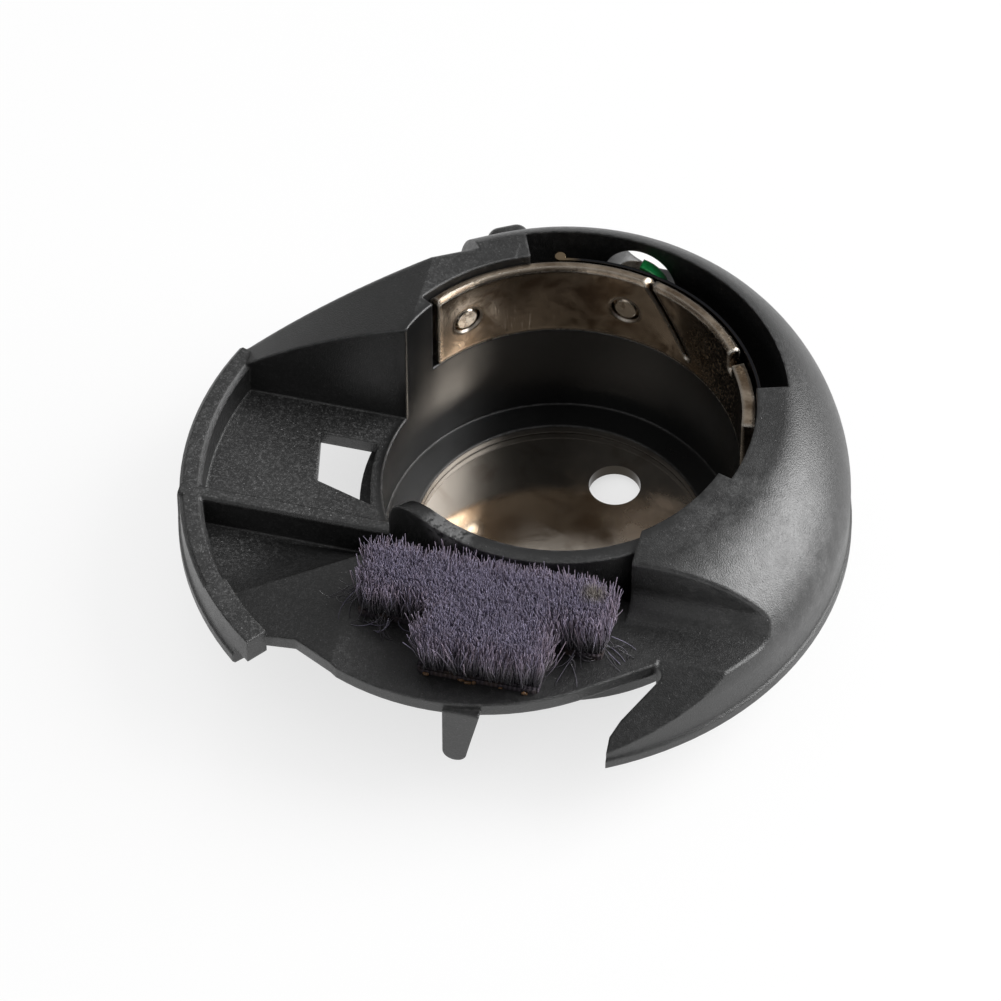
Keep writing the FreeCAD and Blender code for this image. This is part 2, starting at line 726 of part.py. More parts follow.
# Steel floor plate

def make_floor_plate():
    body = doc.addObject("PartDesign::Body", "FloorPlate")
    disc = body_sketch(body, "PlateOutline", "XY_Plane")
    draw_circle(disc, "plate_radius")
    draw_circle(disc, "sensor_hole_radius", "sensor_hole_x", "sensor_hole_y")
    pad(body, "PlatePad", disc, "plate_thickness")
    bind(body, "Placement.Base.z", "-lip_thickness - plate_thickness")
    return node(body, "floor_plate")


# Tension plate and leaf spring

def make_tension_plate():
    outer = "well_radius + band_thickness"
    strip = ring("BandStrip", "well_radius", outer, "band_bottom", "band_top", 0, 0, "band_start",
                 "band_end - band_start")
    blank = chamfered("BandBlank", strip, size("band_ease"), lambda edge: at_level(edge, size("band_top")))
    step = cylinder("BandStep", FAR, "band_top - band_step", FAR, 0, 0, "band_start - 1",
                    "band_step_end - band_start + 1")
    notch = cylinder("BandNotch", FAR, "band_top - notch_depth", FAR, 0, 0, "notch_turn - notch_sweep", "notch_sweep")
    top_turn = size("slit_top_turn")
    bottom_turn = size("slit_bottom_turn")
    middle = polar(1, (top_turn + bottom_turn) / 2)
    sideways = FreeCAD.Vector(-middle.y, middle.x, 0)
    radius = size("well_radius")
    top = polar(radius, top_turn, size("band_top"))
    bottom = polar(radius, bottom_turn, size("slit_bottom"))
    run = sideways * (top - bottom).dot(sideways) + UP * (top.z - bottom.z)
    run_length = run.Length
    along = run * (1 / run_length)
    across = along.cross(middle) * (size("slit_width") / 2)
    start = FreeCAD.Vector(bottom.x, bottom.y, bottom.z) - middle * (radius / 4)
    end = start + along * (run_length + radius / 4)
    edges = [line(start + across, end + across), line(end + across, end - across), line(end - across, start - across),
             arc(start - across, start - along * (size("slit_width") / 2), start + across)]
    slit = prism("ThreadSlit", edges, middle * radius)
    bores = [shaft(f"BandBore{index}", "screw_radius + screw_fit", turn, 0, FAR, "screw_level")
             for index, turn in enumerate(("plate_screw_turn", "tension_screw_turn"))]
    return node(cut("TensionPlate", blank, step, notch, slit, *bores), "tension_plate")


def make_leaf():
    inner = "well_radius + band_thickness + leaf_gap"
    outer = f"{inner} + leaf_thickness"
    strip = ring("LeafStrip", inner, outer, "leaf_bottom", "leaf_top", 0, 0, "leaf_start", "leaf_end - leaf_start")
    roll_at = f"({inner} + leaf_roll)"
    roll = cylinder("LeafRoll", "leaf_roll", "leaf_bottom", "leaf_top", f"{roll_at} * cos(leaf_end * 1 deg)",
                    f"{roll_at} * sin(leaf_end * 1 deg)")
    hole = shaft("LeafHole", "leaf_hole_radius", "tension_screw_turn", 0, FAR, "screw_level")
    return node(cut("LeafSpring", fuse("LeafWhole", strip, roll), hole), "tension_leaf_spring")


# Screws and locking paint

def make_screw(name, turn, seat, label):
    """Slotted screw along a radius of the well, its end flush with the band's inner face."""
    rod = shaft(f"{name}Rod", "screw_radius", turn, "screw_end", seat, "screw_level")
    tip = polar(size("screw_end"), size(turn), size("screw_level"))
    shank = chamfered(f"{name}Shank", rod, size("screw_ease"), lambda edge: (edge.CenterOfMass - tip).Length < 0.01)
    head = shaft(f"{name}Head", "head_radius", turn, seat, f"{seat} + head_height", "screw_level")
    outward = polar(1, size(turn))
    tangent = FreeCAD.Vector(-outward.y, outward.x, 0)
    half = size("slot_width") / 2
    length = size("head_radius") * 1.5
    bottom = outward * (size(seat) + size("head_height") - size("slot_depth")) + UP * size("screw_level")
    edges = lines([bottom + tangent * a * length + UP * b * half for a, b in ((-1, -1), (1, -1), (1, 1), (-1, 1))])
    slot = prism(f"{name}Slot", edges, outward * FAR)
    return node(cut(name, fuse(f"{name}Whole", shank, head), slot), label)


def make_lock_paint():
    turn = "tension_screw_turn"
    begin = "tension_screw_seat + head_height / 4"
    end = "tension_screw_seat + head_height"
    whole = shaft("PaintWhole", "head_radius + paint_thickness", turn, begin, end, "screw_level")
    bind(whole, "Angle", "paint_sweep")
    outward = FreeCAD.Rotation(UP, polar(1, size(turn)))
    whole.Placement.Rotation = outward.multiply(FreeCAD.Rotation(UP, size("paint_start")))
    head = shaft("PaintBore", "head_radius", turn, "well_radius", FAR, "screw_level")
    return node(cut("LockPaint", whole, head), "lock_paint")


# Pile pad

PAD_CORNERS = (
    ("pad_left", "pad_back"), ("pad_left", "pad_waist"), ("pad_block_left", "pad_waist"),
    ("pad_block_left", "pad_front"), ("pad_block_right", "pad_front"), ("pad_block_right", "pad_waist"),
    ("pad_right", "pad_waist"), ("pad_right", "pad_back"),
)


def make_pad(name, bottom, top, label):
    body = doc.addObject("PartDesign::Body", name)
    outline = body_sketch(body, f"{name}Outline", "XY_Plane")
    draw_polygon(outline, PAD_CORNERS)
    pad(body, f"{name}Pad", outline, f"({top}) - ({bottom})")
    bind(body, "Placement.Base.z", bottom)
    return node(body, label)


make_case_body()
make_floor_plate()
make_tension_plate()
make_leaf()
make_screw("PlateScrew", "plate_screw_turn", "plate_screw_seat", "plate_screw")
make_screw("TensionScrew", "tension_screw_turn", "tension_screw_seat", "tension_screw")
make_lock_paint()
make_pad("PadBacking", "shelf_level", "shelf_level + pad_backing", "pad_backing")
make_pad("PilePad", "shelf_level + pad_backing", "pad_top", "pile_pad")
doc.recompute()

for item in doc.Objects:
    if "Invalid" in item.State or "Error" in item.State:
        raise RuntimeError(f"{item.Name} failed: {item.State}")
os.makedirs("parts", exist_ok=True)
for item in NODES:
    if item.Shape.isNull() or not item.Shape.isValid():
        raise RuntimeError(f"{item.Label} is not a valid shape")
for item in NODES:
    print(f"{item.Label}: {len(item.Shape.Solids)} solid(s), {item.Shape.Volume:.2f} mm3")
    item.Shape.exportStep(f"parts/{item.Label}.step")
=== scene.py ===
"""Looks of the bobbin box: black moulding, nickel tension band, steel floor disc and pile pad."""
import math

import bpy
import numpy as np
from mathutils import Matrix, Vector


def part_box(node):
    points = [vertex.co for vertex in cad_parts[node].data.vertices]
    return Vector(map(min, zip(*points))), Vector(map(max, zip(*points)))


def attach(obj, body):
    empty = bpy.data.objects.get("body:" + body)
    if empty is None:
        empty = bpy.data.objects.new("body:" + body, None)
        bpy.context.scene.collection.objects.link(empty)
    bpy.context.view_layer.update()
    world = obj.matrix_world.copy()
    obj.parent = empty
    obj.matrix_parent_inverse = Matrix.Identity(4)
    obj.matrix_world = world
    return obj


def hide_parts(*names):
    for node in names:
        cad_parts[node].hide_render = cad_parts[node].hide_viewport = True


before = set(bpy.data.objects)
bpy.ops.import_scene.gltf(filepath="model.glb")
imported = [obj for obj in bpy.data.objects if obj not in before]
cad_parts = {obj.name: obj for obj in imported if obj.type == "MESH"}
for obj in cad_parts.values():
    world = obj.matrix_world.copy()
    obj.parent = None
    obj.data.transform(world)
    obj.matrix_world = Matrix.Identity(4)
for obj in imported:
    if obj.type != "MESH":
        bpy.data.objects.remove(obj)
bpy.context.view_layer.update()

MM = 0.001
FLOOR_LEVEL = -2.0
SMOOTH_BELOW_DEGREES = 28


# Shader maths

class Value:
    """A socket's value, ready for arithmetic."""

    def __init__(self, shader, socket):
        self.shader = shader
        self.socket = socket

    def math(self, operation, first, second):
        """Result of one operation on two values."""
        return self.shader.node("ShaderNodeMath", {"operation": operation}, {0: first, 1: second})

    def __add__(self, other):
        return self.math("ADD", self, other)

    def __radd__(self, other):
        return self.math("ADD", other, self)

    def __rsub__(self, other):
        return self.math("SUBTRACT", other, self)

    def __mul__(self, other):
        return self.math("MULTIPLY", self, other)

    def __rmul__(self, other):
        return self.math("MULTIPLY", other, self)

    def __pow__(self, other):
        return self.math("POWER", self, other)


class Shader:
    """The node tree of one finish, with the calls that its recipe needs."""

    def __init__(self, tree):
        self.tree = tree
        self.tree.nodes.clear()

    def node(self, kind, settings=None, values=None, out=0):
        """New node with its settings and inputs, as the value of one of its outputs."""
        made = self.tree.nodes.new(kind)
        for name, setting in (settings or {}).items():
            setattr(made, name, setting)
        for name, value in (values or {}).items():
            if isinstance(value, Value):
                self.tree.links.new(value.socket, made.inputs[name])
            else:
                made.inputs[name].default_value = value
        return Value(self, made.outputs[out]) if made.outputs else None

    def place(self):
        """Object coordinates in millimetres."""
        spot = self.node("ShaderNodeTexCoord", out="Object")
        return self.node("ShaderNodeVectorMath", {"operation": "SCALE"}, {0: spot, "Scale": 1 / MM})

    def moved(self, spot, shift=(0, 0, 0), turn=(0, 0, 0), stretch=(1, 1, 1)):
        """Coordinates shifted, turned and stretched, for a pattern of its own."""
        return self.node("ShaderNodeMapping", None,
                         {"Vector": spot, "Location": shift, "Rotation": turn, "Scale": stretch})

    def axes(self, spot):
        """The x, y and z of a vector."""
        return [self.node("ShaderNodeSeparateXYZ", None, {0: spot}, out) for out in range(3)]

    def noise(self, spot, scale, detail=3.0, roughness=0.55, distortion=0.0):
        """Cloudy pattern about 0.5."""
        return self.node("ShaderNodeTexNoise", None, {"Vector": spot, "Scale": scale, "Detail": detail,
                                                      "Roughness": roughness, "Distortion": distortion})

    def dots(self, spot, scale, inner, outer):
        """Scattered round dots: 1 at their middle, 0 between them."""
        gap = self.node("ShaderNodeTexVoronoi", None, {"Vector": spot, "Scale": scale}, "Distance")
        return 1 - self.step(gap, inner, outer)

    def step(self, value, low, high):
        """0 below low, 1 above high, smooth between."""
        return self.node("ShaderNodeMapRange", {"interpolation_type": "SMOOTHSTEP"},
                         {"Value": value, "From Min": low, "From Max": high})

    def near(self, spot, center, inner, outer):
        """1 within the inner distance of a point, 0 beyond the outer one."""
        gap = self.node("ShaderNodeVectorMath", {"operation": "DISTANCE"}, {0: spot, 1: center}, "Value")
        return 1 - self.step(gap, inner, outer)

    def clamped(self, value):
        """A value held between 0 and 1."""
        return self.node("ShaderNodeClamp", None, {"Value": value})

    def mix(self, share, first, second):
        """Blend of two colours."""
        return self.node("ShaderNodeMix", {"data_type": "RGBA"}, {0: share, 6: first, 7: second}, 2)

    def edges(self, radius):
        """Rounded normal, and a mask of the edges that it rounds."""
        soft = self.node("ShaderNodeBevel", {"samples": 6}, {"Radius": radius * MM})
        flat = self.node("ShaderNodeNewGeometry", out="Normal")
        facing = self.node("ShaderNodeVectorMath", {"operation": "DOT_PRODUCT"}, {0: soft, 1: flat}, "Value")
        return soft, self.step(1 - facing, 0.01, 0.22)

    def upward(self, low, high):
        """1 on faces that look up, 0 on the rest."""
        normal = self.node("ShaderNodeNewGeometry", out="Normal")
        return self.step(self.axes(normal)[2], low, high)

    def bump(self, height, depth, normal=None):
        """Normal of a relief that is depth millimetres high, on a given normal or the face's own."""
        values = {"Height": height, "Strength": 1.0, "Distance": depth * MM}
        if normal is not None:
            values["Normal"] = normal
        return self.node("ShaderNodeBump", None, values)

    def attribute(self, name):
        """A value that the mesh carries at its points."""
        return self.node("ShaderNodeAttribute", {"attribute_name": name}, None, "Fac")

    def surface(self, **values):
        """End of a recipe: the shader with its sockets, written with underscores for spaces."""
        sockets = {name.replace("_", " "): value for name, value in values.items()}
        done = self.node("ShaderNodeBsdfPrincipled", None, sockets, "BSDF")
        self.node("ShaderNodeOutputMaterial", None, {"Surface": done})


def finish_of(name):
    """New material, and the shader that its recipe writes to."""
    material = bpy.data.materials.new(name)
    material.use_nodes = True
    return material, Shader(material.node_tree)


def rgb(red, green, blue):
    """Opaque colour."""
    return (red, green, blue, 1.0)


def grey(level, warm=0.0):
    """Opaque grey, a little warmer or, below zero, colder."""
    return rgb(level * (1 + warm), level, level * (1 - warm))


# Places that a finish marks, in millimetres

WELL_MOUTH_INNER = 11.3
WELL_MOUTH_OUTER = 11.9
GATE_MARK = (-4.5, -10.7, 11.7)
SHOULDER_HIGHLIGHT = (14.6, -7.0, 10.8)
DISC_REFLECTION_PATCH = (5.4, 3.2, -0.6)
BAND_PALE_END = (8.4, 7.2, 9.6)
BAND_SCUFF = (10.3, 5.4, 8.6)
SPRING_ROLL = (-3.0, 12.2, 11.6)
PILE_STAIN = (5.3, -13.5, 11.4)


# Finishes

def black_moulding():
    """Black filled plastic: grain, dust, pale flecks, edge wear that is partly a painted edge highlight, a
    rough gate mark, a painted highlight on the shoulder.
    """
    material, s = finish_of("black_moulding")
    black = grey(0.0060, -0.02)
    chalk_and_highlight = grey(0.16)
    spot = s.place()
    x, y, _ = s.axes(spot)
    soft, edge = s.edges(0.25)
    outside = s.step((x * x + y * y) ** 0.5, WELL_MOUTH_INNER, WELL_MOUTH_OUTER)
    grain = s.noise(spot, 11.0, 2.0)
    patches = s.noise(spot, 0.42, 5.0, 0.6, 0.4)
    dust = s.step(s.noise(spot, 3.2, 5.0, 0.75), 0.46, 0.64)
    speckle = s.step(s.noise(spot, 7.5, 1.0), 0.55, 0.70)
    fleck_here = s.step(s.noise(spot, 1.1, 2.0), 0.44, 0.62)
    fleck = s.dots(spot, 2.8, 0.07, 0.16) * fleck_here
    drawn_out = s.moved(spot, turn=(0, 0, 0.4), stretch=(0.3, 6.0, 6.0))
    scratch = s.step(s.noise(drawn_out, 1.0, 2.0), 0.66, 0.74)
    gate = s.near(spot, GATE_MARK, 0.9, 2.2) * s.step(s.noise(spot, 2.4, 4.0), 0.36, 0.58)
    # Edges lightened: partly wear, partly a painted edge highlight.
    wear_and_edge_highlight = edge * s.step(s.noise(spot, 1.7, 4.0), 0.36, 0.64)
    settled = (1 - s.step(x, -15.0, -4.0)) * s.upward(0.93, 0.995)
    dirt = 0.10 * patches + 0.15 * dust + 0.25 * speckle + 0.7 * fleck + 0.08 * scratch
    dirt = dirt * outside * (0.40 + 1.1 * settled)
    # Painted highlight: a pale mottled patch on the shoulder's slope, where the key light's reflection
    # falls.
    painted_highlight = s.near(spot, SHOULDER_HIGHLIGHT, 2.5, 8.5) * s.step(s.noise(spot, 0.9, 5.0, 0.65), 0.34, 0.66)
    painted_highlight = painted_highlight * (0.45 + 0.55 * s.step(s.noise(spot, 6.0, 2.0), 0.40, 0.62))
    pale = s.clamped(dirt + 0.45 * wear_and_edge_highlight + 0.75 * gate + 0.42 * painted_highlight)
    rough = 0.20 + 0.24 * patches + (0.10 * grain + 0.08 * dust) * outside + 0.2 * gate
    height = (grain + 0.5 * fleck) * (0.2 + 0.8 * outside) + 2.0 * gate * s.noise(spot, 4.5, 3.0)
    s.surface(Base_Color=s.mix(pale, black, chalk_and_highlight), Roughness=rough,
              Normal=s.bump(height, 0.027, soft), Specular_IOR_Level=0.85)
    return material


def floor_steel():
    """Polished steel: faint turning rings, smudges, brown oil, a warm patch that is a painted reflection,
    painted shade on the hole wall.
    """
    material, s = finish_of("floor_steel")
    steel = rgb(0.66, 0.59, 0.51)
    oil = rgb(0.30, 0.22, 0.155)
    warm = rgb(0.95, 0.75, 0.57)
    soot = rgb(0.12, 0.10, 0.08)
    shade = rgb(0.05, 0.043, 0.035)
    spot = s.place()
    x, y, _ = s.axes(spot)
    out = (x * x + y * y) ** 0.5
    rings = s.noise(s.node("ShaderNodeCombineXYZ", None, {"X": out}), 9.0, 2.0)
    smudge = s.step(s.noise(spot, 0.30, 5.0, 0.62, 0.6), 0.40, 0.68)
    stain = s.step(s.noise(s.moved(spot, shift=(3.1, 7.7, 0)), 0.26, 4.0, 0.6, 0.8), 0.46, 0.72)
    speck = s.dots(spot, 0.9, 0.04, 0.11)
    # Painted reflection: a warm pale patch in the colour on the right of the disc; its added roughness is
    # real.
    rubbed = s.near(spot, DISC_REFLECTION_PATCH, 0.8, 3.6) * (0.5 + 0.5 * smudge)
    handled = s.step(x, -5.5, 0.5)
    colour = s.mix(0.55 * stain, steel, oil)
    colour = s.mix(0.8 * rubbed, colour, warm)
    colour = s.mix(0.5 * speck * stain, colour, soot)
    # Painted shade: faces that don't look up, such as the hole's wall, take a near-black colour.
    colour = s.mix(s.upward(0.2, 0.8), shade, colour)
    rough = 0.06 + (0.15 * smudge + 0.10 * stain) * handled + 0.04 * rings + 0.36 * rubbed
    s.surface(Base_Color=colour, Metallic=1.0, Roughness=rough, Normal=s.bump(rings + 0.8 * speck, 0.0012))
    return material


def nickel_band():
    """Warm nickel plate: rolled edges lightened as a painted highlight, brown tarnish, specks, scratches and
    a scuffed end.
    """
    material, s = finish_of("nickel_band")
    nickel = rgb(0.57, 0.47, 0.365)
    brown = rgb(0.15, 0.10, 0.06)
    brass = rgb(0.78, 0.62, 0.44)
    dark = rgb(0.10, 0.066, 0.040)
    edge_highlight = rgb(0.92, 0.86, 0.77)
    spot = s.place()
    soft, edge = s.edges(0.45)
    cloud = s.noise(spot, 0.42, 5.0, 0.62, 0.5)
    fine = s.noise(spot, 2.4, 4.0, 0.7)
    tarnish = s.step(cloud + 0.22 * fine, 0.50, 0.78)
    pale_end = s.near(spot, BAND_PALE_END, 1.2, 4.6)
    speck_here = s.step(s.noise(spot, 0.8, 2.0) + 0.12 * pale_end, 0.46, 0.58)
    speck = s.dots(spot, 1.9, 0.06, 0.18) * speck_here
    grit = s.step(s.noise(spot, 5.5, 3.0), 0.50, 0.66) * pale_end
    drawn_out = s.moved(spot, turn=(0.2, 0.1, 0.5), stretch=(9.0, 9.0, 0.7))
    scratch = s.step(s.noise(drawn_out, 1.0, 2.0), 0.64, 0.72)
    scuffed = s.near(spot, BAND_SCUFF, 1.0, 2.4)
    colour = s.mix(0.9 * tarnish, nickel, brown)
    colour = s.mix(0.7 * grit, colour, brass)
    colour = s.mix(0.8 * speck, colour, dark)
    # Painted highlight: edges take a pale cream colour where the key light would catch them.
    colour = s.mix(edge, colour, edge_highlight)
    rough = 0.08 + 0.13 * tarnish + 0.08 * fine + 0.30 * grit + 0.14 * scuffed * scratch + 0.12 * edge
    height = cloud + 0.3 * fine + 0.5 * speck + (0.25 + scuffed) * scratch
    s.surface(Base_Color=colour, Metallic=1.0, Roughness=rough, Normal=s.bump(height, 0.007, soft))
    return material


def dark_spring():
    """Tempered spring strip, blue-black, rubbed to bronze at the rolled end."""
    material, s = finish_of("dark_spring")
    blue_black = rgb(0.030, 0.031, 0.035)
    bronze = rgb(0.42, 0.31, 0.19)
    spot = s.place()
    soft, edge = s.edges(0.08)
    cloud = s.noise(spot, 1.1, 4.0)
    rolled = s.near(spot, SPRING_ROLL, 0.5, 1.6)
    rubbed = s.clamped(0.75 * rolled + 0.35 * edge * cloud)
    s.surface(Base_Color=s.mix(rubbed, blue_black, bronze), Metallic=1.0,
              Roughness=0.16 + 0.2 * cloud, Normal=s.bump(cloud, 0.004, soft))
    return material


def screw_steel():
    """Plain screw steel with edges lightened as a painted highlight, and clouds of dark oil."""
    material, s = finish_of("screw_steel")
    steel = rgb(0.70, 0.62, 0.52)
    dark_oil = rgb(0.24, 0.18, 0.13)
    edge_highlight = rgb(0.80, 0.75, 0.68)
    spot = s.place()
    soft, edge = s.edges(0.10)
    cloud = s.noise(spot, 2.0, 4.0)
    oil = s.step(cloud, 0.45, 0.72)
    # Painted highlight: edges mixed towards a paler steel.
    colour = s.mix(0.6 * edge, s.mix(oil, steel, dark_oil), edge_highlight)
    s.surface(Base_Color=colour, Metallic=1.0, Roughness=0.16 + 0.2 * oil, Normal=s.bump(cloud, 0.005, soft))
    return material


def green_paint():
    """Glossy dab of green locking paint with thick and thin places."""
    material, s = finish_of("green_paint")
    deep_green = rgb(0.004, 0.13, 0.03)
    clear_green = rgb(0.012, 0.36, 0.09)
    spot = s.place()
    soft, _ = s.edges(0.2)
    thick = s.noise(spot, 1.4, 3.0)
    s.surface(Base_Color=s.mix(thick, deep_green, clear_green), Roughness=0.14 + 0.2 * thick,
              Normal=s.bump(thick, 0.05, soft))
    return material


def backing_cloth():
    """Dark woven backing, warp over weft, with patches of old adhesive."""
    material, s = finish_of("backing_cloth")
    gap_colour = rgb(0.020, 0.016, 0.022)
    thread_colour = rgb(0.085, 0.070, 0.090)
    glue_colour = rgb(0.10, 0.065, 0.040)
    spot = s.place()
    weave = {"Vector": spot, "Scale": 1.1, "Distortion": 0.6}
    warp, weft = [s.node("ShaderNodeTexWave", {"bands_direction": way}, weave) for way in "XY"]
    glued = s.step(s.noise(spot, 0.9, 4.0), 0.45, 0.7)
    colour = s.mix(0.5 * glued, s.mix(warp * weft, gap_colour, thread_colour), glue_colour)
    s.surface(Base_Color=colour, Roughness=0.75 + 0.15 * glued, Normal=s.bump(warp + weft, 0.05))
    return material


def pile_fibre():
    """Purple-grey synthetic pile: darkened towards the root as painted shade, paler and pinker at the tip,
    with one olive stain.
    """
    material, s = finish_of("pile_fibre")
    dark_purple = rgb(0.075, 0.064, 0.107)
    pale_purple = rgb(0.245, 0.222, 0.325)
    faded_pink = rgb(0.36, 0.265, 0.305)
    olive = rgb(0.17, 0.15, 0.075)
    root = rgb(0.022, 0.018, 0.027)
    tint = s.attribute("tint")
    stained = s.near(s.place(), PILE_STAIN, 0.2, 1.2)
    body = s.mix(tint, dark_purple, pale_purple)
    body = s.mix(s.attribute("pink"), body, faded_pink)
    body = s.mix(0.6 * stained, body, olive)
    # Painted shade: each pile fibre darkens towards its root; the loose fibres carry their own shade in
    # 'along', and for them the same dark colour is their own.
    colour = s.mix(s.step(s.attribute("along"), 0.05, 0.90), root, body)
    s.surface(Base_Color=colour, Roughness=0.62 + 0.1 * tint, Sheen_Weight=0.35, Sheen_Roughness=0.4)
    return material


def old_glue():
    """Amber crumbs of adhesive."""
    material, s = finish_of("old_glue")
    dark_amber = rgb(0.035, 0.018, 0.009)
    amber = rgb(0.26, 0.14, 0.06)
    cloud = s.noise(s.place(), 2.2, 4.0)
    s.surface(Base_Color=s.mix(cloud, dark_amber, amber), Roughness=0.25 + 0.3 * cloud,
              Normal=s.bump(cloud, 0.05))
    return material


FINISHES = {
    "case_body": black_moulding(),
    "floor_plate": floor_steel(),
    "tension_plate": nickel_band(),
    "tension_leaf_spring": dark_spring(),
    "plate_screw": screw_steel(),
    "lock_paint": green_paint(),
    "pad_backing": backing_cloth(),
    "pile_pad": pile_fibre(),
}
FINISHES["tension_screw"] = FINISHES["plate_screw"]


def dress(piece, material):
    """Give a piece its one material."""
    piece.data.materials.clear()
    piece.data.materials.append(material)


for name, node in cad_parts.items():
    dress(node, FINISHES[name])
    bpy.ops.object.select_all(action="DESELECT")
    node.select_set(True)
    bpy.context.view_layer.objects.active = node
    bpy.ops.object.shade_smooth_by_angle(angle=math.radians(SMOOTH_BELOW_DEGREES))


# Outline of the pile pad, a T of a bar at the back and a block in front of its middle, in millimetres

PAD_LOW, PAD_HIGH = (Vector(corner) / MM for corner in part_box("pile_pad"))
PAD_TRIM = 0.5
PAD_LOW += Vector((PAD_TRIM, PAD_TRIM, 0))
PAD_WAIST = -16.0
PAD_BLOCK = (-4.3, 3.3)
FAR_AWAY = 9.0


def edge_gap(points):
    """Distance of points from the nearest side of the T, the way out of it there, and which lie inside."""
    x, y = points[:, 0], points[:, 1]
    in_bar = y > PAD_WAIST
    in_block = (x > PAD_BLOCK[0]) & (x < PAD_BLOCK[1])
    bar_front = np.where(in_bar, y - PAD_WAIST, FAR_AWAY)
    sides = [
        (np.where(in_bar, x - PAD_LOW.x, x - PAD_BLOCK[0]), (-1, 0)),
        (np.where(in_bar, PAD_HIGH.x - x, PAD_BLOCK[1] - x), (1, 0)),
        (PAD_HIGH.y - y, (0, 1)),
        (np.where(in_block, y - PAD_LOW.y, bar_front), (0, -1)),
    ]
    gaps = np.array([gap for gap, way in sides])
    ways = np.array([way for gap, way in sides], float)
    nearest = gaps.argmin(axis=0)
    inside = (gaps.min(axis=0) > 0) & (in_bar | in_block)
    return gaps.min(axis=0), ways[nearest], inside


# Fibres: three-sided tubes through a few points, open at the root

FIBRE_SIDES = 3
FIBRE_RADIUS = 0.039
TIP_TAPER = 0.35


def fibre_rings(draw, centers, levels):
    """Rings round the points of each fibre, finer at its tip."""
    count = len(centers[0])
    corners = np.arange(FIBRE_SIDES) * 2 * math.pi / FIBRE_SIDES
    turn = draw.uniform(0, 2 * math.pi, count)[:, None] + corners
    ring = np.stack([np.cos(turn), np.sin(turn)], -1) * FIBRE_RADIUS
    rings = np.zeros((count, len(centers), FIBRE_SIDES, 3))
    for place, (center, level) in enumerate(zip(centers, levels)):
        rings[:, place, :, :2] = center[:, None] + ring * (1 - TIP_TAPER * place / (len(centers) - 1))
        rings[:, place, :, 2] = np.broadcast_to(level, count)[:, None]
    return rings.reshape(count, -1, 3)


def fibre_faces(count, rings):
    """Sides between the rings of each fibre, and its blunt tip."""
    sides = [(side, (side + 1) % FIBRE_SIDES) for side in range(FIBRE_SIDES)]
    last = FIBRE_SIDES * (rings - 1)
    fibre = []
    for low in range(0, last, FIBRE_SIDES):
        high = low + FIBRE_SIDES
        fibre += [(low + a, low + b, high + b) for a, b in sides]
        fibre += [(low + a, high + b, high + a) for a, b in sides]
    fibre.append(tuple(range(last, last + FIBRE_SIDES)))
    starts = FIBRE_SIDES * rings * np.arange(count)
    return (np.array(fibre)[None] + starts[:, None, None]).reshape(-1, 3)


def fibre_piece(name, points, rings, along, tint, pink):
    """Object of many fibres, with the values that their finish reads at each point."""
    mesh = bpy.data.meshes.new(name)
    faces = fibre_faces(len(points), rings)
    mesh.from_pydata((points.reshape(-1, 3) * MM).tolist(), [], faces.tolist())
    mesh.shade_smooth()
    for label, values in (("along", along), ("tint", tint), ("pink", pink)):
        carried = mesh.attributes.new(label, "FLOAT", "POINT")
        carried.data.foreach_set("value", np.asarray(values, np.float32))
    fibres = bpy.data.objects.new(name, mesh)
    bpy.context.scene.collection.objects.link(fibres)
    dress(fibres, FINISHES["pile_pad"])
    return fibres


# Pile: upright fibres in tufts

TUFT_PITCH = 0.35
TUFT_FIBRES = 22
TUFT_SCATTER = 0.09
TUFT_MARGIN = 0.15
TUFT_LEAN = 0.06
TUFT_HEIGHT = 0.985
TUFT_HEIGHT_SPREAD = 0.022
TUFT_TINTS = (0.15, 0.85)
FIBRE_SCATTER = 0.12
FIBRE_LEAN = 0.11
FIBRE_HEIGHT_SPREAD = 0.03
FIBRE_HEIGHT_LIMITS = (0.85, 1.03)
FIBRE_TINT_SPREAD = 0.16
FIBRE_PINK = 0.06
FIBRE_PINK_SPREAD = 0.08
MOST_PINK = 0.7
SIDE_STRIP = 0.9
SIDE_LEANS = (-0.06, 0.14)
SIDE_SHORTER = 0.24
SIDE_BULGE = 0.16
SIDE_PINK = 0.55
SIDE_PINK_SHARES = (0.2, 1.0)
BEND_REACH = 0.5
BEND_LEVEL = 0.6
BEND_SCATTER = 0.11


